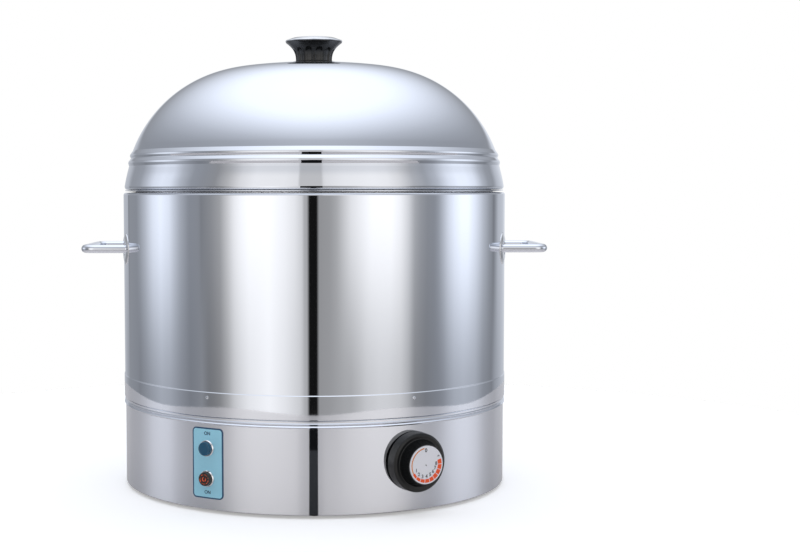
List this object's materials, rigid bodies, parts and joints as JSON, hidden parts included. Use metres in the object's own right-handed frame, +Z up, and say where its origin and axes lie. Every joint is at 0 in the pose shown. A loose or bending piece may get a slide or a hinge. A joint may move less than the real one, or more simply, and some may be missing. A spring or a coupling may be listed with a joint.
{
  "type": "corn steamer",
  "caption": "Round electric corn steamer with a domed lift-off lid, double-walled polished body, side handles, and a base with a thermostat knob and pilot lamps.",
  "frame": {"origin": "on the axis of the round body, at the underside of the rubber feet", "axes": "+Z up the body's axis, -Y towards the front with the knob and lamps, X along the handles"},
  "size_m": [0.456, 0.3908, 0.443],
  "materials": {
    "polished_steel": "mirror-polished stainless sheet",
    "satin_steel": "satin stainless sheet",
    "zinc_fasteners": "zinc-plated steel",
    "polished_trim": "polished plated trim",
    "black_phenolic": "black moulded phenolic",
    "blue_lens": "clear blue moulded lens",
    "red_lens": "clear red moulded lens",
    "label_film": "light blue printed panel with a dark border",
    "dial_print": "satin dial plate with a printed scale",
    "black_rubber": "moulded rubber",
    "black_nylon": "moulded nylon",
    "white_block": "moulded terminal block",
    "copper_tube": "drawn copper",
    "earth_brass": "turned brass",
    "cast_heater": "cast aluminium heater"
  },
  "bodies": {
    "steamer_body": {"outer_shell": "polished_steel", "base_housing": "polished_steel", "handle_left": "polished_steel", "handle_right": "polished_steel", "inner_vessel": "satin_steel", "foot_screws": "zinc_fasteners", "foot_nuts": "zinc_fasteners", "base_plate": "zinc_fasteners", "base_plate_screws": "zinc_fasteners", "shell_rivets": "zinc_fasteners", "handle_nuts": "zinc_fasteners", "thermostat_screws": "zinc_fasteners", "heater_clamp": "zinc_fasteners", "heater_stud": "zinc_fasteners", "heater_nut": "zinc_fasteners", "bulb_clip": "zinc_fasteners", "lamp_bezels": "polished_trim", "handle_washers": "polished_trim", "blue_lamp_lens": "blue_lens", "red_lamp_lens": "red_lens", "label_plate": "label_film", "rubber_feet": "black_rubber", "cable_gland": "black_nylon", "gland_nut": "black_nylon", "lamp_bodies": "black_nylon", "lamp_nuts": "black_nylon", "thermostat_body": "black_nylon", "terminal_block": "white_block", "sensing_bulb": "copper_tube", "capillary_tube": "copper_tube", "earth_stud": "earth_brass", "heater_plate": "cast_heater"},
    "lid": {"lid_shell": "polished_steel", "knob_seat": "black_phenolic", "lid_knob": "black_phenolic", "knob_cap": "polished_trim", "knob_washer": "zinc_fasteners", "knob_screw": "zinc_fasteners"},
    "tray": {"steam_tray": "satin_steel", "tray_legs": "satin_steel", "tray_handle": "satin_steel"},
    "thermostat_dial": {"control_knob": "black_phenolic", "dial_plate": "dial_print", "thermostat_shaft": "zinc_fasteners"}
  },
  "joints": [
    {"name": "lid_lift", "type": "slide", "parent": "steamer_body", "child": "lid", "axis": [0, 0, 1], "range_m": [0, 0.45]},
    {"name": "tray_lift", "type": "slide", "parent": "steamer_body", "child": "tray", "axis": [0, 0, 1], "range_m": [0, 0.36]},
    {"name": "thermostat_turn", "type": "hinge", "parent": "steamer_body", "child": "thermostat_dial", "pos_m": [0.08863, -0.16739, 0.048], "axis": [-0.4679, 0.8838, 0], "range_deg": [0, 285]}
  ],
  "couplings": [
    {"joint": "tray_lift", "follows": "lid_lift", "ratio": 0.8}
  ]
}
